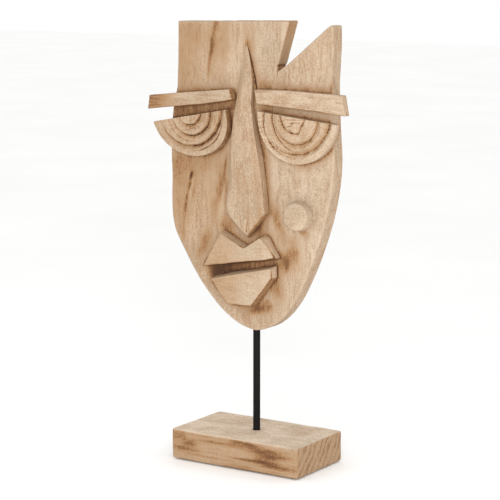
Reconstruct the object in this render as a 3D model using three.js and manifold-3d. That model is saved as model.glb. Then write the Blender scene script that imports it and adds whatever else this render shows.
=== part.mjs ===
// A carved wooden face on a rod-and-block stand.
// Millimetres, +Z up. The face looks along -Y and +X is to the viewer's right.
// The origin is the middle of the felt's underside. The heights in this file
// are taken from the block's wooden underside, a little above it.
import * as THREE from "three";
import { mergeVertices } from "three/addons/utils/BufferGeometryUtils.js";
import Module from "manifold-3d";

const wasm = await Module();
wasm.setup();

// ---- Driving dimensions -------------------------------------------------

const GAP = 0.3; // left between pieces that touch

// The stand, from the table up.
const FELT = { thickness: 1, inset: 6, corner: 5 };
const BASE = { width: 165, depth: 95, height: 34, corner: 2.5, edge: 1.2 };
const COUNTERBORE = { radius: 8.5, top: 6.5 };
const WASHER = { radius: 7, thickness: 1 };
const SCREW = { radius: 2, headRadius: 4, headHeight: 2.6, tip: 28 };
const ROD = { radius: 4, low: 13, high: 205 };
const TAPPED_DEPTH = 16; // of the hole for the screw in the rod's lower end

// The face: one board, and the height of each carving above its front.
const BOARD = { thickness: 20, edge: 1.2 };
const RELIEF = { brow: 11, eye: 11, nose: 13, lip: 12, disc: 12 };
const WORN_EDGE = 0.6; // bevel on the carvings' front edges

// The nose is a wedge: it rises out of the forehead over this stretch.
const NOSE_APEX = 464;
const NOSE_FULL_HEIGHT = 340;
const NOSE_TIP_THICKNESS = 0.4;

// Half-disc eyes: an ellipse cut off along a sloping line, with ring grooves.
const LEFT_EYE = {
  centre: [-75.5, 380],
  radii: [51.3, 41.6],
  tilt: -16,
  lid: { height: 396.7, slope: 0.1816 },
  rings: [0.3, 0.53, 0.77, 0.89],
};
const RIGHT_EYE = {
  centre: [62.4, 386],
  radii: [49.6, 49.6],
  tilt: 0,
  lid: { height: 393.1, slope: -0.0988 },
  rings: [0.3, 0.56, 0.82],
};
const GROOVE = { width: 1.6, depth: 2, overrun: 4 }; // overrun: past the lid

// An eye's curve is traced in fine steps, so that it ends close to the lid, and
// then keeps every third point.
const EYE_STEPS = 160;
const EYE_STEP_KEPT = 3;
const LID_CORNER = 0.4; // from the curve's last point to the corner on the lid

const DISC = { centre: [61.5, 280.5], frontRadius: 15, backRadius: 16.5, edge: 1.2 };

const ROUND_SEGMENTS = 40;

// ---- Materials ----------------------------------------------------------

const finish = (name, color, roughness, metalness = 0) =>
  new THREE.MeshStandardMaterial({ name, color, roughness, metalness });

const boardWood = finish("board_wood", 0xc9a67f, 0.75);
const carvingWood = finish("carving_wood", 0xd2b18b, 0.75);
const baseWood = finish("base_wood", 0xcbb08c, 0.7);
const blackSteel = finish("black_steel", 0x23231f, 0.45, 0.6);
const zincSteel = finish("zinc_steel", 0xa9abad, 0.35, 0.9);
const greyFelt = finish("felt", 0x4a4541, 0.95);

// ---- Solids -------------------------------------------------------------

// A closed three.js geometry as a manifold-3d solid.
function solid(geometry) {
  const bare = geometry.index ? geometry.toNonIndexed() : geometry.clone();
  bare.deleteAttribute("normal");
  bare.deleteAttribute("uv");
  const merged = mergeVertices(bare, 1e-4);
  return new wasm.Manifold(
    new wasm.Mesh({
      numProp: 3,
      vertProperties: merged.attributes.position.array,
      triVerts: new Uint32Array(merged.index.array),
    }),
  );
}

// A manifold-3d solid as a three.js geometry.
function geometryOf(body) {
  const mesh = body.getMesh();
  const geometry = new THREE.BufferGeometry();
  geometry.setAttribute("position", new THREE.BufferAttribute(mesh.vertProperties, 3));
  geometry.setIndex(new THREE.BufferAttribute(mesh.triVerts, 1));
  const flat = geometry.toNonIndexed();
  flat.computeVertexNormals();
  return flat;
}

// The first geometry with each of the others cut away.
const cut = (geometry, ...tools) =>
  geometryOf(tools.reduce((body, tool) => body.subtract(solid(tool)), solid(geometry)));

// A prism of the outline from local z = 0 to z = height. Its outline is kept,
// and both flat faces are bevelled by edge.
function prism(shape, height, edge = 0, curveSegments = 12) {
  const geometry = new THREE.ExtrudeGeometry(shape, {
    depth: height - 2 * edge,
    bevelEnabled: edge > 0,
    bevelThickness: edge,
    bevelSize: edge,
    bevelOffset: -edge,
    bevelSegments: 1,
    curveSegments,
  });
  return geometry.translate(0, 0, edge);
}

// An upright round bar between two heights, on the z axis.
const roundBar = (radius, low, high, segments = ROUND_SEGMENTS) =>
  new THREE.CylinderGeometry(radius, radius, high - low, segments)
    .rotateX(Math.PI / 2)
    .translate(0, 0, (low + high) / 2);

// A solid of revolution about the z axis from [radius, z] points.
const turned = (profile, segments) =>
  new THREE.LatheGeometry(
    profile.map(([r, z]) => new THREE.Vector2(r, z)),
    segments,
  ).rotateX(Math.PI / 2);

const polygon = (points) => new THREE.Shape(points.map(([x, y]) => new THREE.Vector2(x, y)));

function roundedRectangle(width, depth, corner) {
  const [x, y] = [width / 2, depth / 2];
  const shape = new THREE.Shape();
  shape.moveTo(corner - x, -y);
  shape.lineTo(x - corner, -y);
  shape.absarc(x - corner, corner - y, corner, -Math.PI / 2, 0);
  shape.lineTo(x, y - corner);
  shape.absarc(x - corner, y - corner, corner, 0, Math.PI / 2);
  shape.lineTo(corner - x, y);
  shape.absarc(corner - x, y - corner, corner, Math.PI / 2, Math.PI);
  shape.lineTo(-x, corner - y);
  shape.absarc(corner - x, corner - y, corner, Math.PI, 1.5 * Math.PI);
  return shape;
}

const node = (name, geometry, material) => {
  const mesh = new THREE.Mesh(geometry, material);
  mesh.name = name;
  return mesh;
};

// ---- Stand --------------------------------------------------------------

function makeFelt() {
  const width = BASE.width - 2 * FELT.inset;
  const depth = BASE.depth - 2 * FELT.inset;
  const sheet = prism(roundedRectangle(width, depth, FELT.corner), FELT.thickness, 0, 4);
  return sheet.translate(0, 0, -FELT.thickness - GAP);
}

// The block has a socket for the rod from above, and from below a counterbore
// for the screw that holds it.
function makeBaseBlock() {
  const outline = roundedRectangle(BASE.width, BASE.depth, BASE.corner);
  return cut(
    prism(outline, BASE.height, BASE.edge, 2),
    roundBar(ROD.radius + GAP, ROD.low - GAP, BASE.height + 1),
    roundBar(SCREW.radius + GAP, 0, ROD.low),
    roundBar(COUNTERBORE.radius, -1, COUNTERBORE.top),
  );
}

function makeRod() {
  const thread = roundBar(SCREW.radius + GAP, ROD.low - 1, ROD.low + TAPPED_DEPTH, 24);
  return cut(roundBar(ROD.radius, ROD.low, ROD.high), thread);
}

const washerTop = COUNTERBORE.top - GAP;
const washerBottom = washerTop - WASHER.thickness;

function makeWasher() {
  const hole = roundBar(SCREW.radius + GAP, 0, BASE.height, 24);
  return cut(roundBar(WASHER.radius, washerBottom, washerTop, 32), hole);
}

function makeScrew() {
  const headTop = washerBottom - GAP;
  const headBottom = headTop - SCREW.headHeight;
  const profile = [
    [0, headBottom],
    [SCREW.headRadius - 1, headBottom],
    [SCREW.headRadius, headBottom + 1],
    [SCREW.headRadius, headTop],
    [SCREW.radius, headTop],
    [SCREW.radius, SCREW.tip],
    [0, SCREW.tip],
  ];
  return turned(profile, 24);
}

const stand = new THREE.Group();
stand.add(
  node("base_felt", makeFelt(), greyFelt),
  node("base_block", makeBaseBlock(), baseWood),
  node("base_screw", makeScrew(), zincSteel),
  node("base_washer", makeWasher(), zincSteel),
  node("rod", makeRod(), blackSteel),
);

// ---- Face ---------------------------------------------------------------
// In the face group local x is to the viewer's right, y is up and z comes out
// of the board towards the viewer, so each outline is drawn as it is seen.

// The board's outline, clockwise from its top left corner: a flat top, a
// sawn notch, a pointed lobe, and cheeks that draw in to the chin.
function boardOutline() {
  const shape = new THREE.Shape();
  shape.moveTo(-97.5, 485);
  shape.lineTo(47, 488);
  shape.lineTo(33, 441.5);
  shape.lineTo(31.2, 441);
  shape.lineTo(32, 434);
  shape.lineTo(45.5, 443);
  shape.lineTo(93, 481.5);
  shape.quadraticCurveTo(97, 484.5, 99, 484.5);
  shape.quadraticCurveTo(101, 484.5, 101, 482);
  shape.lineTo(101, 458);
  shape.bezierCurveTo(96, 404, 103, 362, 103, 345);
  shape.bezierCurveTo(103.5, 310, 94, 269, 76, 227);
  shape.bezierCurveTo(64.5, 200, 44, 152, 4, 148.5);
  shape.bezierCurveTo(-43, 153, -78, 207, -100, 247);
  shape.bezierCurveTo(-112, 269, -105, 309, -107.5, 330);
  shape.bezierCurveTo(-108, 350, -107, 370, -104.8, 389);
  shape.lineTo(-99.2, 413);
  shape.lineTo(-97.8, 440);
  shape.closePath();
  return shape;
}

function makeBoard() {
  const slab = prism(boardOutline(), BOARD.thickness, BOARD.edge, 20);
  const board = slab.translate(0, 0, -BOARD.thickness / 2);
  const bore = roundBar(ROD.radius + GAP, 0, ROD.high + GAP).rotateX(-Math.PI / 2);
  return cut(board, bore);
}

// A flat carving that stands out of the board's front face.
const carving = (shape, height) => prism(shape, height - GAP, WORN_EDGE);

const LEFT_BROW = [
  [-129.5, 402.5],
  [-131.5, 387],
  [-99, 391],
  [-60, 395.5],
  [-19, 402.5],
  [-22.5, 413.5],
  [-97, 406],
];
const RIGHT_BROW = [
  [9.5, 414.5],
  [12.5, 399.5],
  [34, 398],
  [84, 395],
  [122, 391],
  [118, 412.5],
  [50, 415],
];

function lidLine(eye, x) {
  return eye.lid.height + eye.lid.slope * x;
}

// The part of the eye's ellipse, scaled by size, that lies under the lid line.
function eyeOutline(eye, size) {
  const [cx, cy] = eye.centre;
  const tilt = THREE.MathUtils.degToRad(eye.tilt);
  const curve = new THREE.EllipseCurve(
    cx,
    cy,
    eye.radii[0] * size,
    eye.radii[1] * size,
    0,
    2 * Math.PI,
    false,
    tilt,
  );
  const around = curve.getPoints(EYE_STEPS).slice(0, -1);
  const isUnder = (p) => p.y < lidLine(eye, p.x);
  const start = around.findIndex((p, i) => isUnder(p) && !isUnder(around.at(i - 1)));
  const fromLid = [...around.slice(start), ...around.slice(0, start)];
  return fromLid.filter((p, i) => isUnder(p) && i % EYE_STEP_KEPT === 0);
}

// The point of the lid line that is sideways of p.
function onLid(eye, p, sideways) {
  const x = p.x + sideways;
  return new THREE.Vector2(x, lidLine(eye, x));
}

function eyeShape(eye) {
  const curve = eyeOutline(eye, 1);
  const corners = [onLid(eye, curve[0], -LID_CORNER), onLid(eye, curve.at(-1), LID_CORNER)];
  return new THREE.Shape([corners[0], ...curve, corners[1]]);
}

// A ring groove is a thin crescent between two scales of the eye's own curve.
function ringGroove(eye, size, depth) {
  const half = GROOVE.width / 2 / eye.radii[0];
  const outer = eyeOutline(eye, size + half);
  const inner = eyeOutline(eye, size - half).reverse();
  const rise = new THREE.Vector2(0, GROOVE.overrun);
  const ends = [outer.at(-1), inner[0], inner.at(-1), outer[0]].map((p) => p.clone().add(rise));
  const shape = new THREE.Shape([...outer, ends[0], ends[1], ...inner, ends[2], ends[3]]);
  return prism(shape, GROOVE.depth + 1).translate(0, 0, depth - GROOVE.depth);
}

function makeEye(eye) {
  const height = RELIEF.eye - GAP;
  const grooves = eye.rings.map((size) => ringGroove(eye, size, height));
  return cut(prism(eyeShape(eye), height, WORN_EDGE), ...grooves);
}

// A long kite. Its front slopes up out of the forehead and is level below.
function makeNose() {
  const shape = new THREE.Shape();
  shape.moveTo(-6.5, NOSE_APEX);
  shape.quadraticCurveTo(-14, 440, -16.5, 413);
  shape.lineTo(-20, 367);
  shape.lineTo(-24, 317);
  shape.lineTo(-28.5, 285);
  shape.lineTo(-26, 275);
  shape.lineTo(-2, 252);
  shape.lineTo(23, 281);
  shape.lineTo(19.5, 312);
  shape.lineTo(15.5, 340);
  shape.lineTo(8, 370);
  shape.lineTo(2.5, 398);
  shape.quadraticCurveTo(5, 430, -6.5, NOSE_APEX);
  const full = RELIEF.nose - GAP;
  const slope = Math.atan2(full - NOSE_TIP_THICKNESS, NOSE_APEX - NOSE_FULL_HEIGHT);
  const aboveSlope = new THREE.BoxGeometry(100, 400, 50)
    .translate(0, 0, 25)
    .rotateX(-slope)
    .translate(0, NOSE_APEX, NOSE_TIP_THICKNESS);
  return cut(carving(shape, RELIEF.nose), aboveSlope);
}

// Each lip's sides lean in a little from its back outline to its front one.
const UPPER_LIP = {
  back: [
    [-58.5, 216],
    [-35, 257.5],
    [-4.5, 243],
    [18.5, 256.5],
    [23.5, 254],
    [37.5, 233],
    [22.5, 229.5],
    [-2.5, 225.5],
  ],
  front: [
    [-58.5, 216.5],
    [-34, 255],
    [-3, 241],
    [16.5, 253.5],
    [18.5, 252.5],
    [37, 233],
    [22.5, 230.5],
    [-2.5, 226.5],
  ],
};
const LOWER_LIP = {
  back: [
    [-48, 205],
    [-27, 211],
    [32.5, 223.5],
    [33.5, 211],
    [6.5, 177],
    [-25.5, 176.5],
    [-39, 191.5],
  ],
  front: [
    [-48.5, 203],
    [-27.5, 208],
    [31, 221.5],
    [32.5, 211.5],
    [6, 178],
    [-25, 177.5],
    [-38.5, 192],
  ],
};

// A carving from a back outline to a front outline with as many corners.
function makeLip({ back, front }) {
  const height = RELIEF.lip - GAP;
  const geometry = prism(polygon(back), height);
  const position = geometry.getAttribute("position");
  for (let i = 0; i < position.count; i++) {
    if (position.getZ(i) < height / 2) continue;
    const [x, y] = [position.getX(i), position.getY(i)];
    const corner = back.findIndex(([bx, by]) => Math.hypot(bx - x, by - y) < 0.01);
    position.setXY(i, ...front[corner]);
  }
  return geometry;
}

function makeDisc() {
  const height = RELIEF.disc - GAP;
  const profile = [
    [0, 0],
    [DISC.backRadius, 0],
    [DISC.frontRadius, height - DISC.edge],
    [DISC.frontRadius - DISC.edge, height],
    [0, height],
  ];
  return turned(profile, ROUND_SEGMENTS).translate(...DISC.centre, 0);
}

const face = new THREE.Group();
face.rotation.x = Math.PI / 2;
face.add(node("face_board", makeBoard(), boardWood));

const carvings = new THREE.Group();
carvings.position.z = BOARD.thickness / 2 + GAP;
carvings.add(
  node("left_brow", carving(polygon(LEFT_BROW), RELIEF.brow), carvingWood),
  node("right_brow", carving(polygon(RIGHT_BROW), RELIEF.brow), carvingWood),
  node("left_eye", makeEye(LEFT_EYE), carvingWood),
  node("right_eye", makeEye(RIGHT_EYE), carvingWood),
  node("nose", makeNose(), carvingWood),
  node("upper_lip", makeLip(UPPER_LIP), carvingWood),
  node("lower_lip", makeLip(LOWER_LIP), carvingWood),
  node("cheek_disc", makeDisc(), carvingWood),
);
face.add(carvings);

const mask = new THREE.Group();
mask.position.z = FELT.thickness + GAP;
mask.add(stand, face);

export default mask;
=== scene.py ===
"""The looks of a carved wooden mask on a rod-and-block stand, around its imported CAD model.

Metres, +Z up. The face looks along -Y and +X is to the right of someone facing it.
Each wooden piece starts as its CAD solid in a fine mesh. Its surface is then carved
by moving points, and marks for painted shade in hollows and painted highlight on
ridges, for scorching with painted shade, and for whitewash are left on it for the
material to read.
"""

import math

import bmesh
import bpy
import numpy as np
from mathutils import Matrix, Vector
from mathutils.bvhtree import BVHTree


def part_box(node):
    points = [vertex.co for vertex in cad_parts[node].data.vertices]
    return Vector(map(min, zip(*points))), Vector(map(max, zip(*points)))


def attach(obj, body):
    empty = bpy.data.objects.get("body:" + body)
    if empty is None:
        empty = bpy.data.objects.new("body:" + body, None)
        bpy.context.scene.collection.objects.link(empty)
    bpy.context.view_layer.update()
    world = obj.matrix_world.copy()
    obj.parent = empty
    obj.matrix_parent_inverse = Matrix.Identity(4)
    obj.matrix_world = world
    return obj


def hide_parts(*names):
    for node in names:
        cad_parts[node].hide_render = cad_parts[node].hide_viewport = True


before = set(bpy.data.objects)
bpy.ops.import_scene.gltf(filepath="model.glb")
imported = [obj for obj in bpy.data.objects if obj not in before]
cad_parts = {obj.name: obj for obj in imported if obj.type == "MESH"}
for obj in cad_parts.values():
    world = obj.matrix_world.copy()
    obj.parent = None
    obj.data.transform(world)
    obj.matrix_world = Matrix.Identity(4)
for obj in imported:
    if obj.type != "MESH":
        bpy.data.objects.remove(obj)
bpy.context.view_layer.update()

MM = 0.001
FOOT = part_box("base_block")[0].z  # heights on the face are given from the block's underside


def on_face(x, height):
    """A place on the face in metres, from millimetres right of the middle and above FOOT."""
    return x * MM, height * MM + FOOT


# ---- Camera ------------------------------------------------------------------


def add_camera(azimuth=33.0, elevation=9.28, distance=2.06, sideways=-0.00747, height=0.238):
    """A long lens that looks at a point near the stand's axis, at that height."""
    turn, tilt = math.radians(azimuth), math.radians(elevation)
    right = Vector((math.cos(turn), math.sin(turn), 0))
    level = Vector((math.sin(turn), -math.cos(turn), 0))
    back = level * math.cos(tilt) + Vector((0, 0, math.sin(tilt)))
    camera = bpy.data.objects.new("camera", bpy.data.cameras.new("camera"))
    camera.data.sensor_width = 36
    camera.data.lens = 135
    camera.data.clip_end = 50
    camera.location = right * sideways + Vector((0, 0, height)) + back * distance
    camera.rotation_euler = (-back).to_track_quat("-Z", "Y").to_euler()
    bpy.context.scene.collection.objects.link(camera)
    bpy.context.scene.camera = camera


# ---- Repeatable noise --------------------------------------------------------


def scrambled(x, y, z, seed):
    """A repeatable number from -1 to 1 for each whole-numbered place. The factors are
    large primes, so places near each other get unlike numbers."""
    mask = 0xFFFFFFFF
    h = (x * 374761393 + y * 668265263 + z * 1274126177 + seed * 362437) & mask
    h = ((h ^ (h >> 13)) * 1274126177) & mask
    return ((h ^ (h >> 16)) & 0xFFFF) / 32767.5 - 1


def noise(points, size, seed):
    """Smooth noise from -1 to 1, with bumps of size (x, y, z) millimetres."""
    place = points / (np.array(size) * MM)
    cell = np.floor(place).astype(np.int64)
    part = place - cell
    part = part * part * (3 - 2 * part)
    total = np.zeros(len(points))
    for corner in np.ndindex(2, 2, 2):
        weight = np.prod(np.where(corner, part, 1 - part), axis=1)
        total += weight * scrambled(*(cell + corner).T, seed)
    return total


def rough(points, size, seed, octaves):
    """Noise with finer noise on top of it."""
    size = np.array(size, float)
    return sum(noise(points, size / 2**k, seed + k) / 2**k for k in range(octaves))


# ---- Meshes ------------------------------------------------------------------


def coordinates(mesh):
    co = np.empty(len(mesh.vertices) * 3)
    mesh.vertices.foreach_get("co", co)
    return co.reshape(-1, 3)


def normals(mesh):
    out = np.empty(len(mesh.vertices) * 3)
    mesh.vertices.foreach_get("normal", out)
    return out.reshape(-1, 3)


def move_points(mesh, co):
    mesh.vertices.foreach_set("co", co.ravel())
    mesh.update()


def edge_pairs(mesh):
    pairs = np.empty(len(mesh.edges) * 2, np.int32)
    mesh.edges.foreach_get("vertices", pairs)
    return pairs.reshape(-1, 2)


def relaxed(co, pairs, rounds, share=0.5):
    """Each point moved part of the way to the middle of its neighbours, some rounds over."""
    count = len(co)
    a, b = pairs.T
    neighbours = np.bincount(a, minlength=count) + np.bincount(b, minlength=count)
    for _ in range(rounds):
        middle = np.empty_like(co)
        for axis in range(3):
            total = np.bincount(a, co[b, axis], count) + np.bincount(b, co[a, axis], count)
            middle[:, axis] = total / neighbours
        co = co + (middle - co) * share
    return co


def mark(mesh, name, values):
    """Leaves a number on each point for the material to read."""
    attribute = mesh.attributes.new(name, "FLOAT", "POINT")
    attribute.data.foreach_set("value", np.asarray(values, np.float32))


def solid_of(node):
    """A CAD node's solid as a bmesh, with its doubled corners merged."""
    bm = bmesh.new()
    bm.from_mesh(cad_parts[node].data)
    bmesh.ops.remove_doubles(bm, verts=bm.verts, dist=1e-6)
    return bm


def back_outline(node):
    """The border of a carving's flat back, in order, as (x, z) points."""
    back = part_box(node)[1].y
    bm = solid_of(node)
    flat = [f for f in bm.faces if all(abs(v.co.y - back) < 1e-6 for v in f.verts)]
    border = [e for f in flat for e in f.edges if sum(g in flat for g in e.link_faces) == 1]
    following = {}
    for edge in border:
        face = next(f for f in edge.link_faces if f in flat)
        loop = next(loop for loop in face.loops if loop.edge == edge)
        following[loop.vert] = loop.link_loop_next.vert
    vert = border[0].verts[0]
    points = []
    for _ in border:
        points.append((vert.co.x, vert.co.z))
        vert = following[vert]
    bm.free()
    return points


def skinned(rings):
    """A closed solid whose skin runs from ring to ring of points, with both ends capped."""
    bm = bmesh.new()
    rings = [[bm.verts.new(point) for point in ring] for ring in rings]
    for ring, following in zip(rings, rings[1:]):
        for i in range(len(ring)):
            j = (i + 1) % len(ring)
            bm.faces.new((ring[i], ring[j], following[j], following[i]))
    bm.faces.new(rings[0])
    bm.faces.new(rings[-1])
    bmesh.ops.recalc_face_normals(bm, faces=bm.faces)
    return bm


def prism(outline, front, back):
    """A closed solid between two planes, from the outline of its back."""
    return skinned([[(x, y, z) for x, z in outline] for y in (back, front)])


def new_object(name, bm):
    mesh = bpy.data.meshes.new(name)
    bm.to_mesh(mesh)
    bm.free()
    obj = bpy.data.objects.new(name, mesh)
    bpy.context.scene.collection.objects.link(obj)
    return obj


def make_fine(obj, voxel):
    """Replaces an object's mesh by an even one of small faces."""
    modifier = obj.modifiers.new("fine", "REMESH")
    modifier.mode = "VOXEL"
    modifier.voxel_size = voxel * MM
    evaluated = obj.evaluated_get(bpy.context.evaluated_depsgraph_get())
    mesh = bpy.data.meshes.new_from_object(evaluated)
    obj.modifiers.clear()
    obj.data = mesh
    mesh.shade_smooth()


def finish_piece(obj, body, slot, material, *nodes):
    obj.data.materials.clear()
    obj.data.materials.append(material)
    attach(obj, body)
    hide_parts(*nodes)
    return obj


# ---- Carving -----------------------------------------------------------------


def from_line(co, line):
    """How far each point is from a line of (x, height) points on the face, and how far along it."""
    places = [np.array(on_face(*point)) for point in line]
    flat = co[:, (0, 2)]
    nearest = np.full(len(co), np.inf)
    part = np.zeros(len(co))
    for i, (a, b) in enumerate(zip(places, places[1:])):
        step = b - a
        t = np.clip((flat - a) @ step / (step @ step), 0, 1)
        distance = np.linalg.norm(flat - a - t[:, None] * step, axis=1)
        closer = distance < nearest
        nearest[closer] = distance[closer]
        part[closer] = (i + t[closer]) / (len(places) - 1)
    return nearest / MM, part


def groove(co, line, width, depth):
    """Millimetres of depth of a cut along a line. width and depth are pairs, for the
    line's start and its end."""
    distance, part = from_line(co, line)
    wide = width[0] + (width[1] - width[0]) * part
    deep = depth[0] + (depth[1] - depth[0]) * part
    return deep * np.clip(1 - distance / wide, 0, 1) ** 1.3


def spot(co, x, height, wide, tall, lean=0.0):
    """A soft round spot on the face, 1 in its middle, lean degrees off upright."""
    cx, cz = on_face(x, height)
    turn = math.radians(lean)
    dx, dz = (co[:, 0] - cx) / MM, (co[:, 2] - cz) / MM
    across = dx * math.cos(turn) - dz * math.sin(turn)
    along = dx * math.sin(turn) + dz * math.cos(turn)
    return np.exp(-((across / wide) ** 2) - (along / tall) ** 2)


def hollows(co, pairs, normal, rounds=8, scale=0.35):
    """About 1 in a groove that is scale millimetres deep, and about -1 on such a ridge."""
    out = ((relaxed(co, pairs, rounds) - co) * normal).sum(1) / (scale * MM)
    return np.clip(out, -1, 1)


def facing(share):
    """1 where a surface faces along an axis, from the share of its normal that does,
    and 0 where it is 48 degrees or more off."""
    return np.clip(share * 3 - 2, 0, 1)


def sink(co, node, depth):
    """Presses a carving's front in by depth millimetres, less towards its back."""
    low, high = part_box(node)
    share = np.clip((high.y - co[:, 1]) / (high.y - low.y), 0, 1)
    co[:, 1] += depth * MM * share


def carve(node, name, voxel, material, slot, shape, stain_and_shade, wash, bm=None, dirt=None, body="mask"):
    """Makes the wooden piece that stands for a CAD node, or for bm in its place. shape
    moves its points; the function after it says how dark each point is from scorching
    and painted shade, and wash how whitened, from 0 to 1. The function given after bm
    says how dark the painted shade in a groove is for its depth."""
    bm = bm or solid_of(node)
    surface = BVHTree.FromBMesh(bm)
    obj = new_object(name, bm)
    make_fine(obj, voxel)
    mesh = obj.data
    pairs = edge_pairs(mesh)
    co = np.array([surface.find_nearest(point)[0] for point in coordinates(mesh)])
    co = relaxed(co, pairs, 1)
    shape(co, normals(mesh))
    move_points(mesh, co)
    normal = normals(mesh)
    # Curvature, which becomes painted shade in hollows and a painted highlight on ridges.
    crease_shade = hollows(co, pairs, normal)
    share = dirt(co) if dirt else 0.75 + 0.45 * rough(co, (9, 12, 14), 5, 2)
    mark(mesh, "crease_shade", np.where(crease_shade > 0, crease_shade * np.clip(share, 0, 1.2), crease_shade))
    mark(mesh, "scorch_and_shade", np.clip(stain_and_shade(co, normal), 0, 1))
    mark(mesh, "wash", np.clip(wash(co, normal), 0, 1))
    return finish_piece(obj, body, slot, material, node)


def nearness(co, nodes):
    """Millimetres from each point to the nearest of some CAD nodes."""
    corners, faces = [], []
    for node in nodes:
        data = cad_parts[node].data
        first = len(corners)
        corners += [v.co.copy() for v in data.vertices]
        faces += [[first + i for i in p.vertices] for p in data.polygons]
    tree = BVHTree.FromPolygons(corners, faces)
    return np.array([tree.find_nearest(point)[3] for point in co]) / MM


# ---- Materials ---------------------------------------------------------------


def srgb(red, green, blue):
    """A colour from 0-255 values as seen on a screen."""
    share = [c / 255 for c in (red, green, blue)]
    return [c / 12.92 if c <= 0.04045 else ((c + 0.055) / 1.055) ** 2.4 for c in share] + [1.0]


class Shader:
    """A new material, and short ways to add nodes to it."""

    def __init__(self, name):
        self.material = bpy.data.materials.new(name)
        self.material.use_nodes = True
        self.tree = self.material.node_tree
        self.surface = self.tree.nodes["Principled BSDF"]

    def add(self, kind, inputs, **settings):
        node = self.tree.nodes.new("ShaderNode" + kind)
        for key, value in settings.items():
            setattr(node, key, value)
        for key, value in inputs.items():
            self.put(node.inputs[key], value)
        return node

    def put(self, socket, value):
        if isinstance(value, bpy.types.NodeSocket):
            self.tree.links.new(value, socket)
        else:
            socket.default_value = value

    def math(self, operation, a, b, c=0.0):
        inputs = {0: a, 1: b, 2: c}
        return self.add("Math", inputs, operation=operation).outputs[0]

    def range(self, value, low, high, to_low=0.0, to_high=1.0):
        """A value from low to high brought to a new range, and held at that range's ends."""
        inputs = {"Value": value, "From Min": low, "From Max": high}
        inputs.update({"To Min": to_low, "To Max": to_high})
        return self.add("MapRange", inputs).outputs[0]

    def mix(self, share, a, b):
        inputs = {0: share, 6: a, 7: b}
        return self.add("Mix", inputs, data_type="RGBA").outputs[2]

    def attribute(self, name):
        return self.add("Attribute", {}, attribute_name=name).outputs["Fac"]

    def noise(self, vector, scale, detail, distortion=0.0):
        inputs = {"Vector": vector, "Scale": scale, "Detail": detail, "Distortion": distortion}
        return self.add("TexNoise", inputs).outputs["Fac"]

    def stretched(self, vector, x, y, z):
        """Coordinates scaled on each axis, so a small number makes long shapes along it."""
        inputs = {0: vector, 1: (x, y, z)}
        return self.add("VectorMath", inputs, operation="MULTIPLY").outputs[0]

    def place(self):
        return self.add("TexCoord", {}).outputs["Object"]

    def set(self, **inputs):
        for key, value in inputs.items():
            self.put(self.surface.inputs[key.replace("_", " ")], value)

    def bump(self, height, strength, distance):
        inputs = {"Height": height, "Strength": strength, "Distance": distance * MM}
        self.put(self.surface.inputs["Normal"], self.add("Bump", inputs).outputs[0])


# Colours of the whitewashed wood, from its palest wash to its deepest scorch.
WHITE = srgb(216, 198, 176)
WASH = srgb(199, 181, 159)
GREY = srgb(168, 151, 128)
PALE = srgb(184, 157, 128)
TAN = srgb(163, 133, 102)
HONEY = srgb(161, 125, 88)
BROWN = srgb(138, 98, 62)
SCORCHED = srgb(104, 68, 40)
CHARRED = srgb(56, 33, 18)


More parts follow.
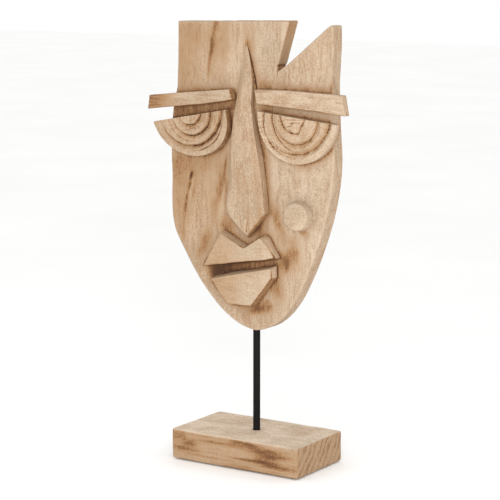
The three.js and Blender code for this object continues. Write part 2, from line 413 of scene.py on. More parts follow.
def wood(name, along, figure, worn=0.0, whitest=WASH, ends=False):
    """Whitewashed wood with its grain along an axis ("X" or "Z"), scorched and painted in
    shade where marked, with painted highlights on ridges.
    figure is how much the broad bands of the grain show against loose patches, worn wood
    shows less of its fine grain, and ends adds sawn end grain where marked."""
    shader = Shader(name)
    place = shader.place()
    bend = shader.add("TexNoise", {"Vector": place, "Scale": 14.0, "Detail": 2.0}).outputs["Color"]
    bend = shader.add("VectorMath", {0: bend, 1: (0.5, 0.5, 0.5)}, operation="SUBTRACT").outputs[0]
    bend = shader.stretched(bend, 0.012, 0.012, 0.012)
    bent = shader.add("VectorMath", {0: place, 1: bend}, operation="ADD").outputs[0]

    def grain(across, length):
        small = length / across
        x, z = (small, 1.0) if along == "X" else (1.0, small)
        return shader.stretched(bent, x, 1.0, z)

    # From broad bands of grain down to specks smaller than a millimetre.
    bands = shader.noise(grain(1.0, 0.08), 75.0, 3.0, 0.3)
    streaks = shader.noise(grain(1.0, 0.12), 230.0, 4.0)
    fibre = shader.noise(grain(1.0, 0.15), 460.0, 3.0)
    pores = shader.noise(grain(1.0, 0.14), 760.0, 1.0)
    patches = shader.noise(place, 26.0, 5.0)
    speckle = shader.noise(place, 640.0, 3.0)

    # The bare wood.
    tone = shader.math("MULTIPLY_ADD", bands, figure, shader.math("MULTIPLY", patches, 1 - figure))
    color = shader.mix(shader.range(tone, 0.36, 0.6), TAN, PALE)
    color = shader.mix(shader.range(bands, 0.42, 0.24, 0.0, 0.6), color, HONEY)
    color = shader.mix(shader.range(streaks, 0.5, 0.32, 0.0, 0.5 - 0.4 * worn), color, BROWN)

    # Whitewash, thinner in patches and over the dark streaks, with grey stains on it.
    uneven = shader.range(patches, 0.36, 0.6, 0.5, 1.0)
    wash = shader.math("MULTIPLY", shader.attribute("wash"), uneven)
    wash = shader.math("MULTIPLY", wash, shader.range(streaks, 0.36, 0.56, 0.65 + 0.3 * worn, 1.0))
    color = shader.mix(wash, color, whitest)
    grey = shader.noise(place, 19.0, 6.0, 0.5)
    color = shader.mix(shader.range(grey, 0.5, 0.68, 0.0, 0.5), color, GREY)

    # Fibres and pores where the wash leaves them bare, and specks everywhere.
    bare = shader.math("MULTIPLY_ADD", wash, -0.7, 1.0 - 0.3 * worn)
    fibres = shader.math("MULTIPLY", bare, shader.range(fibre, 0.52, 0.34, 0.0, 0.42))
    color = shader.mix(fibres, color, BROWN)
    deep_pores = shader.math("MULTIPLY", bare, shader.range(pores, 0.36, 0.26, 0.0, 0.3))
    color = shader.mix(deep_pores, color, SCORCHED)
    color = shader.mix(shader.range(speckle, 0.5, 0.32, 0.0, 0.42), color, BROWN)
    color = shader.mix(shader.range(speckle, 0.53, 0.7, 0.0, 0.6), color, whitest)
    if ends:
        color = shader.mix(shader.attribute("end"), color, end_grain(shader, place))

    # Ridges are painted pale, a painted highlight. Creases are painted in shade, and they and
    # scorched places go through four browns; the grain frays the border of this darkening.
    crease_shade = shader.attribute("crease_shade")
    color = shader.mix(shader.range(crease_shade, -0.08, -0.8, 0.0, 0.2), color, WASH)
    scorch_and_shade = shader.attribute("scorch_and_shade")
    fray = shader.math("MULTIPLY_ADD", fibre, 0.6, shader.math("MULTIPLY", patches, 0.3))
    fray = shader.math("MULTIPLY_ADD", streaks, 0.45, fray)
    fray = shader.math("MULTIPLY_ADD", speckle, 0.8, fray)
    fray = shader.math("SUBTRACT", fray, 1.075)
    rising = shader.range(scorch_and_shade, 0.0, 0.4, 0.0, 1.4)
    falling = shader.range(scorch_and_shade, 0.5, 0.8, 1.0, 0.5)
    burnt_and_shaded = shader.math("MULTIPLY_ADD", fray, shader.math("MULTIPLY", rising, falling), scorch_and_shade)
    burnt_and_shaded = shader.math("ADD", burnt_and_shaded, shader.range(crease_shade, 0.06, 0.9, 0.0, 0.7))
    color = shader.mix(shader.range(burnt_and_shaded, 0.0, 0.28), color, HONEY)
    color = shader.mix(shader.range(burnt_and_shaded, 0.2, 0.5), color, BROWN)
    color = shader.mix(shader.range(burnt_and_shaded, 0.4, 0.8), color, SCORCHED)
    color = shader.mix(shader.range(burnt_and_shaded, 0.74, 1.2), color, CHARRED)

    dull = shader.range(fibre, 0.3, 0.7, 0.86, 0.68)
    shader.set(Base_Color=color, Roughness=dull, Specular_IOR_Level=0.35)
    relief = shader.math("MULTIPLY_ADD", pores, 0.5, fibre)
    shader.bump(relief, 0.35, 0.35)
    return shader.material


def end_grain(shader, place):
    """The colour of sawn end grain: rings about a pith in front of the block and above it."""
    inputs = {0: place, 1: (0.0, -0.18, 0.148)}
    from_pith = shader.add("VectorMath", inputs, operation="SUBTRACT").outputs[0]
    inputs = {"Vector": from_pith, "Scale": 34.0, "Distortion": 5.0}
    inputs.update({"Detail": 5.0, "Detail Scale": 2.2})
    rings = shader.add("TexWave", inputs, wave_type="RINGS", rings_direction="X").outputs["Fac"]
    fine = shader.noise(shader.stretched(place, 0.2, 1.0, 1.0), 420.0, 3.0)
    patches = shader.noise(place, 60.0, 3.0)
    clear = shader.range(patches, 0.4, 0.58, 0.35, 1.0)
    late_wood = shader.math("MULTIPLY", shader.range(rings, 0.3, 0.9), clear)
    color = shader.mix(late_wood, TAN, shader.mix(0.35, BROWN, SCORCHED))
    return shader.mix(shader.range(fine, 0.42, 0.64, 0.0, 0.45), color, PALE)


def painted_steel():
    """Satin black paint, a little uneven."""
    shader = Shader("black_steel")
    place = shader.place()
    coarse = shader.noise(place, 90.0, 4.0)
    fine = shader.noise(place, 2200.0, 2.0)
    color = shader.mix(shader.range(coarse, 0.35, 0.7), srgb(8, 8, 7), srgb(18, 18, 15))
    satin = shader.range(coarse, 0.3, 0.7, 0.5, 0.62)
    shader.set(Base_Color=color, Roughness=satin, Specular_IOR_Level=0.15)
    shader.bump(fine, 0.25, 0.08)
    return shader.material


def zinc_steel():
    """Bright plating with fine marks around the screw."""
    shader = Shader("zinc_steel")
    place = shader.place()
    brushed = shader.noise(shader.stretched(place, 1.0, 1.0, 0.05), 1500.0, 2.0)
    dull = shader.noise(place, 240.0, 3.0)
    color = shader.mix(shader.range(dull, 0.35, 0.65), srgb(160, 162, 164), srgb(196, 197, 198))
    shader.set(Base_Color=color, Metallic=1.0, Roughness=shader.range(brushed, 0.3, 0.7, 0.28, 0.5))
    shader.bump(brushed, 0.2, 0.05)
    return shader.material


def felt():
    """Pressed dark wool."""
    shader = Shader("felt")
    place = shader.place()
    hairs = shader.noise(shader.stretched(place, 1.0, 0.3, 1.0), 2600.0, 3.0, 1.5)
    clumps = shader.noise(place, 500.0, 2.0)
    color = shader.mix(shader.range(hairs, 0.35, 0.65), srgb(58, 52, 47), srgb(88, 81, 74))
    dull = shader.range(clumps, 0.3, 0.7, 0.88, 1.0)
    shader.set(Base_Color=color, Roughness=dull, Sheen_Weight=0.4)
    shader.bump(hairs, 0.6, 0.3)
    return shader.material


# ---- The board ---------------------------------------------------------------

DISC_LOW, DISC_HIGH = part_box("cheek_disc")
DISC_RADIUS = (DISC_HIGH.x - DISC_LOW.x) / 2 / MM


def from_disc(co):
    """Millimetres from the middle of the cheek disc, across the face."""
    middle = (DISC_LOW + DISC_HIGH) / 2
    return np.hypot(co[:, 0] - middle.x, co[:, 2] - middle.z) / MM


def patchy(co, amount, seed):
    """Whitewash of about an even amount all over a piece."""
    return amount + 0.25 * rough(co, (18, 18, 22), seed, 2)


# Cuts in the board's front: the line, then its width and depth at each end.
BOARD_CUTS = (
    ([(-6, 458), (-3, 450), (-1, 442), (1, 434), (3.2, 425), (5, 413)], (0.9, 2.4), (0.5, 2.4)),
    ([(31.5, 436), (32.5, 429)], (1.2, 0.8), (1.6, 0.6)),
    ([(-79.5, 318), (-81.5, 311)], (2.8, 2.0), (0.8, 0.4)),
    ([(-82, 306), (-84, 299), (-86.5, 293)], (3.4, 2.0), (0.5, 0.2)),
    ([(26.2, 398.5), (26.2, 386)], (0.9, 0.9), (1.3, 1.3)),
)

# Darker spots on the board: x, height, half width, half height, lean, strength.
BOARD_DARK_SPOTS = (
    (-46, 488, 2.5, 16, 14, 0.4),
    (-52, 462, 2.2, 16, 9, 0.34),
    (-56, 438, 1.8, 14, 8, 0.3),
    (-80.5, 315, 1.8, 5, 12, 0.62),
    (-83.5, 303, 2.2, 6, 14, 0.5),
    (-86.5, 290, 1.7, 6, 12, 0.42),
    (-88, 279, 1.6, 9, 8, 0.3),
    (-77, 298, 2.0, 14, 10, 0.2),
    (-91, 258, 2.5, 22, 6, 0.16),
    (-34, 333, 1.6, 10, 6, 0.34),
    (-37, 318, 2.2, 10, 8, 0.3),
    (-42, 303, 5.0, 16, 14, 0.3),
    (-34, 300, 2.0, 16, 6, 0.22),
    (-33, 263, 7, 8, 40, 0.5),
    (-50, 280, 5, 14, 0, 0.16),
    (-60, 246, 7, 12, 10, 0.3),
    (-68, 232, 6, 14, 20, 0.16),
    (8, 262, 9, 6, -40, 0.42),
    (31, 281, 5, 9, -10, 0.26),
    (34, 268, 5, 11, -6, 0.3),
    (39, 262, 4, 8, -20, 0.2),
    (44, 228, 5, 11, 10, 0.5),
    (54, 236, 8, 12, 0, 0.26),
    (30, 200, 8, 17, -28, 0.34),
    (8, 173, 13, 4.5, -12, 0.7),
    (20, 176, 6, 6, -20, 0.5),
    (20, 183, 1.6, 2.0, 0, 0.5),
    (66, 263, 7, 5, 20, 0.28),
    (50, 252, 14, 8, 0, 0.12),
    (58, 419, 44, 3.4, 2, 0.06),
    (14, 421, 12, 6, 0, 0.14),
    (99, 417, 1.6, 8, 0, 0.5),
    (-72, 330, 28, 12, 0, 0.14),
    (-98, 325, 10, 16, 0, 0.2),
    (-40, 322, 8, 14, 10, 0.16),
    (-71, 470, 16, 12, 0, 0.1),
    (-40, 474, 12, 22, 0, 0.1),
    (-4, 472, 10, 14, 0, 0.1),
    (-86, 446, 16, 44, 0, 0.17),
    (-45, 460, 16, 40, 0, 0.14),
    (-96, 296, 15, 44, 0, 0.16),
    (-70, 322, 16, 18, 0, 0.1),
    (-56, 292, 14, 30, 0, 0.05),
)


# The carvings that the board is scorched and painted in shade around. The cheek disc was set in
# later.
SCORCH_AND_SHADE_ROUND = "left_brow right_brow left_eye right_eye nose upper_lip lower_lip".split()


def shape_board(co, normal):
    """Uneven planing, a wavering edge, and the cuts beside the nose and at the notch."""
    side = 1 - np.abs(normal[:, 1])
    waver = rough(co, (18, 18, 26), 11, 3) * 0.35 * MM * side
    co += normal * waver[:, None]
    depth = 0.35 * (1 + rough(co, (30, 60, 70), 12, 3)) + 0.16 * noise(co, (4, 40, 60), 13)
    depth *= np.clip((from_disc(co) - DISC_RADIUS) / 6, 0, 1)
    for line, width, deep in BOARD_CUTS:
        depth += groove(co, line, width, deep)
    sink(co, "face_board", depth)


def stain_and_shade_board(co, normal):
    """Scorching and painted shade line the feet of the carvings, and scorching creeps out
    from them, least along the nose's left, and lies in loose spots between them."""
    front = np.clip(-normal[:, 1], 0, 1)
    near = nearness(co, SCORCH_AND_SHADE_ROUND)
    loose = np.clip(0.5 + 0.9 * rough(co, (14, 30, 22), 21, 2), 0, 1.3)
    quiet = 1 - 0.85 * spot(co, -14, 440, 9, 34) - 0.6 * spot(co, -27, 330, 8, 45)
    bands = lid_scorch_and_shade(co)
    creeping = 0.22 * loose * np.exp(-((near / 6.0) ** 2)) * (1 - np.clip(bands * 25, 0, 1))
    # The narrow line at each carving's foot is scorching and painted shade.
    out = (0.75 * np.exp(-near / 1.1) + creeping) * quiet + bands
    ragged = 1 + 0.35 * rough(co, (7, 20, 11), 26, 3)
    for x, height, wide, tall, lean, strength in BOARD_DARK_SPOTS:
        out += strength * spot(co, x, height, wide, tall, lean) * ragged
    for line, width, deep in BOARD_CUTS:
        out += 0.25 * groove(co, line, width, (1, 1)) * np.clip(max(deep), 0, 1)
    out += mouth_scorch_and_shade(co)
    sides = np.clip(0.12 * rough(co, (20, 20, 60), 22, 2), 0, 1) + notch_wall(co)
    return out * front + sides * (1 - front)


def notch_wall(co):
    """The notch was cut late and its walls are browner than the board's other sides."""
    across = (co[:, 0] / MM > 20) & (co[:, 0] / MM < 70)
    return 0.16 * across * np.clip(((co[:, 2] - FOOT) / MM - 428) / 6, 0, 1)


def wash_board(co, normal):
    """The face is paler towards its right and in patches, and less pale in the bands beneath the
    brows, part of their painted shade.
    """
    front = np.clip(-normal[:, 1], 0, 1)
    rightward = np.clip((co[:, 0] / MM + 110) / 210, 0, 1)
    out = 0.02 + 0.8 * rightward + 0.3 * rough(co, (34, 40, 44), 25, 3)
    out *= 1 - 0.4 * np.clip(lid_scorch_and_shade(co) * 25, 0, 1)
    return out * front + 0.35 * (1 - front)


def lid_scorch_and_shade(co):
    """The board is scorched and painted in shade between each brow and its eye, darker on the left.
    """
    left, _ = from_line(co, [(-112, 385), (-22, 400)])
    right, _ = from_line(co, [(16, 397), (100, 390)])
    uneven = 1 + 0.2 * rough(co, (14, 20, 8), 23, 2)
    inner = np.clip((26 - co[:, 0] / MM) / 2, 0, 1)
    return uneven * (0.4 * (left < 9) + (0.04 + 0.18 * inner) * (right < 8))


def mouth_scorch_and_shade(co):
    """The slit between the lips is painted the darkest place on the face, with scorching and
    painted shade, most of all at its left.
    """
    distance, part = from_line(co, [(-46, 209), (-20, 217), (34, 229)])
    uneven = 1 + 0.15 * rough(co, (10, 20, 6), 24, 2)
    return uneven * (0.95 - 0.75 * part) * np.clip(1.6 - distance / 8, 0, 1)


def add_board(material):
    node, name = "face_board", "board_carved"
    return carve(node, name, 1.2, material, "board_wood", shape_board, stain_and_shade_board, wash_board)


# ---- The carvings ------------------------------------------------------------


def hand_cut(co, seed, amount, size):
    """Millimetres of unevenness that a flat chisel leaves."""
    return amount * (1 + rough(co, size, seed, 3))


def foot_scorch_and_shade(co, node, strength, reach):
    """Scorching and painted shade at the foot of a carving's sides, next to the board."""
    return strength * np.exp(-np.clip(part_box(node)[1].y - co[:, 1], 0, 1) / (reach * MM))


def add_brow(node, material, seed, wash, worn_end=0.0):
    """A bar with its grain along it. worn_end darkens and furrows its left end."""
    low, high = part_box(node)

    def end(co):
        """How worn it is, from the far left inwards."""
        return worn_end * np.clip(1 - (co[:, 0] - low.x) / (42 * MM), 0, 1)

    def shape(co, normal):
        co[:, 2] += 0.5 * MM * rough(co, (30, 12, 40), seed, 2)
        furrows = (0.12 + 0.35 * end(co)) * np.abs(noise(co, (30, 20, 1.8), seed + 5))
        sink(co, node, hand_cut(co, seed + 3, 0.3, (22, 20, 9)) + furrows)

    def stain_and_shade(co, normal):
        # Undersides and the left brow's right end are painted in shade.
        under = 0.4 * np.clip(-normal[:, 2], 0, 1)
        inner = 0.4 * np.clip(normal[:, 0], 0, 1) * (high.x < 0)
        furrows = end(co) * (0.65 + np.clip(noise(co, (18, 20, 2.2), seed + 6), 0, 1))
        return foot_scorch_and_shade(co, node, 0.35, 1.5) + under + inner + furrows

    def whitened(co, normal):
        return patchy(co, wash, seed + 7)

    name = node + "_carved"
    return carve(node, name, 0.7, material, "carving_wood", shape, stain_and_shade, whitened)


def lid_middle(outline):
    """The middle of an eye's straight upper edge, the longest of its outline."""
    points = np.array(outline)
    following = np.roll(points, -1, axis=0)
    longest = np.linalg.norm(following - points, axis=1).argmax()
    return (points[longest] + following[longest]) / 2


def ring_cut(co, centre, radius, inner, outer, depth, clearest, even):
    """Depth of a ring groove with an inner and an outer wall of those widths. It is
    deepest towards clearest, in degrees, and even is the share that stays all round."""
    dx, dz = co[:, 0] - centre[0], co[:, 2] - centre[1]
    away = np.hypot(dx, dz) / MM - radius
    away += 0.5 * noise(co, (7, 50, 7), 31) + 0.25 * noise(co, (2.2, 50, 2.2), 32)
    wall = np.where(away < 0, 1 + away / inner, 1 - away / outer)
    angle = np.arctan2(dz, dx) - math.radians(clearest)
    return depth * np.clip(wall, 0, 1) * np.clip(even + (1 - even) * np.cos(angle), 0, 1)


# Ring grooves of each eye: the centre from the middle of its lid, the radius, the widths
# of the inner and the outer wall, the depth, where it is deepest, and how even it is.
LEFT_RINGS = (
    (-0.8, 4.6, 15.1, 2.0, 8.0, 3.2, -30, 0.6),
    (1.3, 3.7, 25.6, 2.2, 6.0, 3.8, -30, 0.6),
    (1.5, 3.4, 31.0, 1.2, 3.0, 1.6, -150, 0.2),
    (-0.4, 8.0, 41.5, 2.2, 5.0, 4.4, -45, 0.6),
    (6.4, -1.2, 36.6, 1.4, 2.4, 1.6, -30, 0.5),
)
RIGHT_RINGS = (
    (-1.2, -2.0, 26.7, 3.0, 6.0, 3.2, -60, 0.6),
    (7.2, 0.6, 37.9, 2.0, 3.0, 2.6, 190, 0.1),
    (-3.4, -4.2, 38.2, 1.6, 3.4, 2.8, 200, 0.4),
    (-3.3, 5.0, 44.4, 5.0, 5.0, 3.8, -50, 0.45),
)
# The outline of the shield in the right eye's middle, down its left and up its right.
SHIELD = (
    [(41, 389), (42, 384.5), (45.6, 377), (49, 372.4)]
    + [(58, 369.4), (64, 369.4), (70.6, 381.6), (72, 387.6)]
)


def add_eye(node, material, rings, seed, wash, walled, dark, inside=None, bitten=0.0):
    """A half disc of terraced rings. walled is how dark its right wall is, from scorching and
    painted shade, dark how dark the painted shade in its grooves is at the upper left and at
    the lower right, inside adds cuts in its middle, and bitten is the depth of the short
    cuts across the left of its rim."""
    outline = back_outline(node)
    low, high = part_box(node)
    middle = lid_middle(outline)

    def polar(co):
        """Each point's distance from the middle of the lid in millimetres, and its angle."""
        dx, dz = co[:, 0] - middle[0], co[:, 2] - middle[1]
        return np.hypot(dx, dz) / MM, np.arctan2(dz, dx)

    def ring_depth(co):
        depth = inside(co) if inside else np.zeros(len(co))
        for dx, dz, *cut in rings:
            depth = np.maximum(depth, ring_cut(co, middle + np.array((dx, dz)) * MM, *cut))
        return depth

    def shape(co, normal):
        away, angle = polar(co)
        rim = np.clip((away - 37) / 3, 0, 1)
        left = np.clip(-np.cos(angle) * 1.4, 0, 1)
        depth = ring_depth(co) + hand_cut(co, seed, 0.25, (7, 20, 7))
        slits = np.clip(1 - 2.4 * np.abs(rough(co, (5, 20, 1.9), seed + 1, 2)), 0, 1)
        depth += (0.3 + bitten * left) * slits * rim
        depth += 0.3 * np.abs(noise(co, (1.6, 20, 1.6), seed + 4))
        depth += 0.7 * np.abs(rough(co, (5, 20, 2.0), seed + 2, 2)) * np.clip(1.5 - away / 28, 0, 1)
        sink(co, node, depth)

    def dirt(co):
        # Painted shade in the grooves, heaviest at the lower right, where they face down and away
        # from the light.
        _, angle = polar(co)
        lower_right = 0.5 + 0.5 * np.cos(angle + math.radians(40))
        grooved = 0.45 + 0.55 * np.clip(ring_depth(co) / 0.8, 0, 1)
        uneven = 0.85 + 0.5 * rough(co, (5, 20, 5), seed + 3, 2)
        return grooved * (dark[0] + (dark[1] - dark[0]) * lower_right) * uneven

    def stain_and_shade(co, normal):
        front = np.clip((high.y - co[:, 1]) / (high.y - low.y) * 4 - 1, 0, 1)
        # The right wall is darkened by scorching and painted shade, and the ring grooves by painted
        # shade.
        walls = walled * np.clip(normal[:, 0], 0, 1) * np.clip(1 + normal[:, 1], 0, 1)
        lines = 0.5 + 0.5 * noise(co, (1.6, 1.6, 30), seed + 5)
        grooves = 0.45 * front * np.clip(ring_depth(co) / 4, 0, 1) ** 1.4 * dirt(co)
        return foot_scorch_and_shade(co, node, 0.45, 2.5) + grooves + walls * lines

    def whitened(co, normal):
        away, _ = polar(co)
        return patchy(co, wash, seed + 7) * (0.35 + 0.65 * np.clip((away - 36) / 6, 0, 1))

    name = node + "_carved"
    solid = prism(outline, low.y, high.y)
    return carve(node, name, 0.55, material, "carving_wood", shape, stain_and_shade, whitened, solid, dirt)


def shield_cut(co):
    """A rough shield in the middle of the right eye stands between two cuts."""
    distance, _ = from_line(co, SHIELD)
    distance += 0.6 * noise(co, (3, 20, 3), 62)
    bars = np.clip(1 - 2.5 * np.abs(noise(co, (16, 20, 3.4), 61)), 0, 1) * spot(co, 59, 381, 11, 9)
    pits = np.clip(rough(co, (4, 20, 4), 63, 2), 0, 1) * spot(co, 42, 378, 7, 14)
    return 2.2 * np.clip(1 - distance / 2.6, 0, 1) + 1.1 * bars + 1.4 * pits


def add_nose(material):
    """A long kite, rounded off to the left, fluted, with facets at its tip. Its top sinks
    into the forehead."""
    node = "nose"
    outline = np.array(back_outline(node))
    outline = np.roll(outline, -outline[:, 1].argmin(), axis=0)
    top = outline[:, 1].argmax()
    sides = (outline[: top + 1], np.vstack([outline[top:], outline[:1]]))
    left_side, right_side = sorted(sides, key=lambda points: points[:, 0].mean())

    def edge(co, points):
        """The x of one side of the nose at each point's height."""
        points = points[points[:, 1].argsort()]
        return np.interp(co[:, 2], points[:, 1], points[:, 0])

    def shape(co, normal):
        left, right = edge(co, left_side), edge(co, right_side)
        height = (co[:, 2] - FOOT) / MM
        width = np.maximum(right - left, 1e-4)
        across = np.clip((co[:, 0] - left) / width, 0, 1)
        depth = 0.9 * (2 * across - 1) ** 2
        soft = np.clip((360 - height) / 40, 0, 1)
        depth += 3.2 * soft * np.clip(1 - (co[:, 0] - left) / (7 * MM), 0, 1) ** 2
        flutes = noise(co, (5, 40, 90), 41) + 0.5 * noise(co, (2.4, 40, 50), 42)
        depth += 0.3 * (1 + flutes) * np.clip((420 - height) / 120, 0.35, 1)
        lower_left, _ = from_line(co, [(-27, 275), (-2, 252)])
        lower_right, _ = from_line(co, [(-2, 252), (23, 281)])
        depth += 0.8 * np.clip(4 - lower_left, 0, 4) + 0.35 * np.clip(6 - lower_right, 0, 6)
        for line in ([(-9, 282), (-5, 259)], [(2, 282), (0, 260)]):
            depth += groove(co, line, (2.5, 2.0), (0.0, 0.9))
        merged = np.clip((height - 380) / 45, 0, 1)
        merged *= np.clip(1 - (co[:, 0] - left) / (8 * MM), 0, 1)
        sink(co, node, np.minimum(depth, 8) + 9.6 * merged**1.4)

    def stain_and_shade(co, normal):
        right_wall = np.clip(normal[:, 0], 0, 1)
        thick = np.clip((430 - (co[:, 2] - FOOT) / MM) / 60, 0, 1)
        foot = foot_scorch_and_shade(co, node, 0.5, 1.6) * np.maximum(thick, right_wall)
        foot *= 1 - 0.35 * right_wall
        lower = np.clip((300 - (co[:, 2] - FOOT) / MM) / 50, 0, 1)
        streaks = np.clip(noise(co, (3, 30, 40), 43), 0, 1)
        # Painted shade along the lower edges of the tip.
        tip, _ = from_line(co, [(-26, 274), (-2, 252), (22, 280)])
        return foot + 0.2 * streaks * (1 + lower) + 0.25 * np.exp(-((tip / 1.1) ** 2))

    def whitened(co, normal):
        # The right wall gets less whitewash, so it shows darker wood and painted shade there.
        return patchy(co, 0.4, 45) * (1 - 0.5 * np.clip(normal[:, 0], 0, 1))

    return carve(node, "nose_carved", 0.62, material, "carving_wood", shape, stain_and_shade, whitened)


def add_lip(node, material, seed, wash, outlined):
    """A flat lip. outlined is how dark the line is along the edge of its front."""
    outline = [(x / MM, (z - FOOT) / MM) for x, z in back_outline(node)]
    outline.append(outline[0])

    def shape(co, normal):
        co += normal * (0.25 * MM * rough(co, (16, 8, 12), seed, 2))[:, None]
        sink(co, node, hand_cut(co, seed + 3, 0.3, (18, 20, 14)))

    def stain_and_shade(co, normal):
        upward = np.clip(normal[:, 2], 0, 1)
        # Undersides are painted in shade.
        downward_shade = 0.5 * np.clip(-normal[:, 2], 0, 1)
        front = facing(-normal[:, 1])
        distance, _ = from_line(co, outline)
        ahead = np.clip((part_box(node)[0].y + 2.5 * MM - co[:, 1]) / MM, 0, 1)
        uneven = 1 + 0.6 * rough(co, (8, 20, 8), seed + 5, 2)
        line = outlined * np.exp(-((distance / 1.25) ** 2)) * uneven
        foot = foot_scorch_and_shade(co, node, 0.4, 1.2) * (1 - 0.8 * upward)
        left = np.clip(-co[:, 0] / (25 * MM), 0, 1)
        walls = foot + 0.03 * upward + downward_shade
        return walls * (1 - front) + 0.07 * left * front + line * ahead

    def whitened(co, normal):
        rightward = patchy(co, wash, seed + 7) + 0.01 * co[:, 0] / MM
        return rightward * (1 - 0.7 * np.abs(normal[:, 2]))

    name = node + "_carved"
    return carve(node, name, 0.7, material, "carving_wood", shape, stain_and_shade, whitened)


def add_disc(material):
    """A peg with a rubbed edge, clean all over."""
    node = "cheek_disc"

    def shape(co, normal):
        share = np.clip(from_disc(co) / DISC_RADIUS, 0, 1)
        edge = 0.98 * np.clip((share - 0.8) / 0.2, 0, 1)
        dome = 0.5 * share**2 + 1.4 * (1 - np.sqrt(1 - edge**2))
        sink(co, node, dome + hand_cut(co, 51, 0.25, (9, 20, 9)))

    def clean(co, normal=None):
        return np.zeros(len(co))

    def whitened(co, normal):
        return patchy(co, 0.75, 52)

    name = "cheek_disc_carved"
    return carve(node, name, 0.6, material, "carving_wood", shape, clean, whitened, dirt=clean)


# ---- The stand ---------------------------------------------------------------

# Dark patches on the block's long sides: x, height, half width, half height, strength.
BLOCK_STAINS = (
    (43, 14, 14, 3.2, 0.5),
    (33, 19, 12, 2.6, 0.3),
    (-60, 20, 9, 3, 0.49),
    (-66, 13, 14, 2.2, 0.43),
    (-70, 26, 8, 1.8, 0.32),
    (18, 30, 16, 2.4, 0.49),
    (38, 25, 18, 2.6, 0.61),
    (46, 20, 13, 2.4, 0.67),
    (64, 22, 8, 1.6, 0.43),
    (58, 9, 20, 1.6, 0.58),
    (28, 12, 26, 1.4, 0.43),
    (-18, 26, 34, 1.4, 0.29),
    (-30, 8, 30, 1.2, 0.2),
)


def add_block(material):
    """A sawn block, washed on top, streaked and scorched along its sides."""

    def shape(co, normal):
        co += normal * (0.22 * MM * (rough(co, (40, 24, 18), 71, 3) - 0.8))[:, None]
        saw_marks = facing(np.abs(normal[:, 0])) * (1 + noise(co, (90, 2.2, 30), 72))
        co[:, 0] -= np.sign(co[:, 0]) * 0.14 * MM * saw_marks

    def stain_and_shade(co, normal):
        long_side = facing(np.abs(normal[:, 1]))
        out = 0.0
        for x, height, wide, tall, strength in BLOCK_STAINS:
            out = out + strength * spot(co, x, height, wide, tall)
        out = out * (0.85 + 0.6 * noise(co, (26, 40, 2.4), 76))
        wavy = np.clip(rough(co, (60, 40, 3.5), 73, 2), 0, 1)
        top = np.clip(normal[:, 2], 0, 1)
        plain = 0.1 + 0.12 * wavy + 0.1 * np.clip(rough(co, (24, 24, 12), 74, 2), 0, 1)
        end = facing(np.abs(normal[:, 0]))
        return (out * long_side + plain * (1 - 0.8 * end)) * (1 - top)

    def whitened(co, normal):
        top = np.clip(normal[:, 2], 0, 1)
        end = facing(np.abs(normal[:, 0]))
        return top * (1.3 + 0.2 * rough(co, (40, 18, 20), 75, 2)) + 0.12 * (1 - end)

    node, name = "base_block", "block_sawn"
    block = carve(node, name, 1.05, material, "base_wood", shape, stain_and_shade, whitened, body="stand")
    sideways = np.abs(normals(block.data)[:, 0])
    mark(block.data, "end", np.clip(sideways * 2 - 0.8, 0, 1))
    block.data.attributes["crease_shade"].data.foreach_set("value", np.zeros(len(sideways)))
    return block


def lathed(profile, segments):
    """A closed solid of revolution about the z axis from (radius, z) points off the axis."""
    turns = [2 * math.pi * i / segments for i in range(segments)]
    return skinned([[(r * math.cos(t), r * math.sin(t), z) for t in turns] for r, z in profile])


def add_rod(material):
    """Round bar with broken edges and a hole in its lower end for the screw."""
    low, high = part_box("rod")
    radius = (high.x - low.x) / 2
    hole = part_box("base_screw")[1].x / 2 + 0.3 * MM
    hole_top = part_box("base_screw")[1].z + 1 * MM
    edge = 0.5 * MM
    profile = [(hole, hole_top), (hole, low.z + edge), (hole + edge, low.z), (radius - edge, low.z)]
    steps = 120
    rise = (high.z - low.z - 2 * edge) / steps
    profile += [(radius, low.z + edge + rise * i) for i in range(steps + 1)]
    profile.append((radius - edge, high.z))
    rod = new_object("rod_painted", lathed(profile, 48))
    co = coordinates(rod.data)
    outward = co * (1, 1, 0)
    outside = np.hypot(co[:, 0], co[:, 1]) > radius * 0.99
    co -= outward * (0.006 * (1 + rough(co, (5, 5, 9), 81, 2)) * outside)[:, None]
    move_points(rod.data, co)
    rod.data.shade_smooth()
    return finish_piece(rod, "stand", "black_steel", material, "rod")


def add_felt(material):
    """A pressed sheet with a soft, hairy cut edge."""
    low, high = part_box("base_felt")
    bm = solid_of("base_felt")
    corners = {(round(v.co.x, 6), round(v.co.y, 6)) for v in bm.verts}
    bm.free()
    outline = np.array(sorted(corners, key=lambda p: math.atan2(p[1], p[0])))
    closed = np.vstack([outline, outline[:1]])
    lengths = np.r_[0, np.cumsum(np.linalg.norm(np.diff(closed, axis=0), axis=1))]
    steps = np.arange(0, lengths[-1], 1.2 * MM)
    round_it = np.stack([np.interp(steps, lengths, closed[:, k]) for k in (0, 1)], axis=1)
    thickness = high.z - low.z
    side = [(0.9985, 0.0), (1.0, 0.2), (1.0, 0.5), (1.0, 0.8), (0.9985, 1.0)]
    inward = [0.99, 0.97, 0.93, 0.86, 0.75, 0.6, 0.4, 0.2, 0.05]
    rings = [(s, 0.0) for s in reversed(inward)] + side + [(s, 1.0) for s in inward]
    pressed = []
    for share, level in rings:
        ring = round_it * share
        flat = np.c_[ring, np.full(len(ring), low.z + level * thickness)]
        flat[:, :2] *= 1 - 0.002 * np.abs(noise(flat, (1.4, 1.4, 0.3), 91))[:, None]
        flat[:, 2] += (0.5 - level) * 0.16 * MM * np.abs(noise(flat, (3, 3, 5), 92))
        pressed.append(flat)
    pad = new_object("felt_pad", skinned(pressed))
    pad.data.shade_smooth()
    finish_piece(pad, "stand", "felt", material, "base_felt")


# ---- Floor and light ---------------------------------------------------------


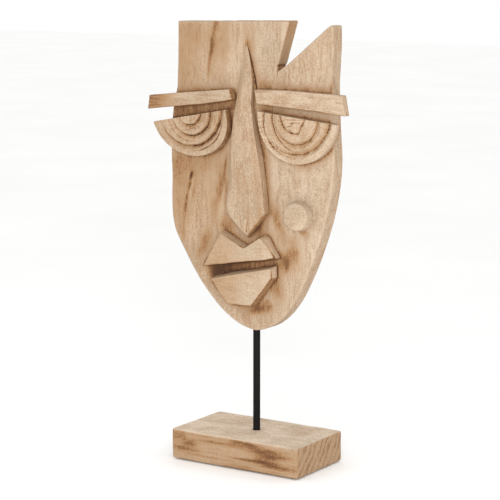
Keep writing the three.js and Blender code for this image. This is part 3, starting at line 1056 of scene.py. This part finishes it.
def add_floor():
    bm = bmesh.new()
    bmesh.ops.create_grid(bm, x_segments=8, y_segments=8, size=8)
    floor = new_object("floor", bm)
    shader = Shader("floor")
    dust = shader.noise(shader.place(), 3.0, 3.0)
    color = shader.mix(shader.range(dust, 0.3, 0.7), srgb(250, 250, 249), srgb(254, 254, 253))
    shader.set(Base_Color=color, Roughness=0.9)
    floor.data.materials.append(shader.material)


def add_area(name, place, target, size, power):
    light = bpy.data.objects.new(name, bpy.data.lights.new(name, "AREA"))
    light.data.shape = "DISK"
    light.data.size = size
    light.data.energy = power
    light.location = place
    aim = Vector(target) - Vector(place)
    light.rotation_euler = aim.to_track_quat("-Z", "Y").to_euler()
    bpy.context.scene.collection.objects.link(light)


def light_scene():
    world = bpy.data.worlds.new("studio")
    world.use_nodes = True
    world.node_tree.nodes["Background"].inputs["Color"].default_value = (1, 1, 1, 1)
    world.node_tree.nodes["Background"].inputs["Strength"].default_value = 1.0
    bpy.context.scene.world = world
    middle = (0, 0, 0.28)
    add_area("key", (0.75, -1.15, 0.5), middle, 0.5, 9)
    bpy.context.scene.view_settings.view_transform = "Standard"


# ---- Everything --------------------------------------------------------------

add_camera()

carving_wood = wood("carving_wood", "Z", figure=0.4)
lip_wood = wood("lip_wood", "X", figure=0.2, worn=1.0)
pale_wood = wood("pale_wood", "Z", figure=0.3, worn=0.7, whitest=srgb(212, 194, 171))
brow_wood = wood("brow_wood", "X", figure=0.5)
base_wood = wood("base_wood", "X", figure=0.6, worn=0.3, whitest=WHITE, ends=True)

add_board(wood("board_wood", "Z", figure=0.55))
add_brow("left_brow", brow_wood, seed=101, wash=0.35, worn_end=0.6)
add_brow("right_brow", brow_wood, seed=111, wash=0.6)
look = {"seed": 121, "wash": 0.45, "walled": 0.6, "dark": (0.4, 1.0)}
add_eye("left_eye", carving_wood, LEFT_RINGS, **look)
look = {"seed": 131, "wash": 0.8, "walled": 0.0, "dark": (1.1, 0.85), "bitten": 0.5}
add_eye("right_eye", pale_wood, RIGHT_RINGS, inside=shield_cut, **look)
add_nose(carving_wood)
add_lip("upper_lip", lip_wood, seed=141, wash=0.28, outlined=0.75)
add_lip("lower_lip", lip_wood, seed=151, wash=0.34, outlined=0.4)
add_disc(lip_wood)

add_block(base_wood)
add_rod(painted_steel())
add_felt(felt())
zinc = zinc_steel()
for name in ("base_screw", "base_washer"):
    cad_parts[name].data.materials.clear()
    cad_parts[name].data.materials.append(zinc)

add_floor()
light_scene()
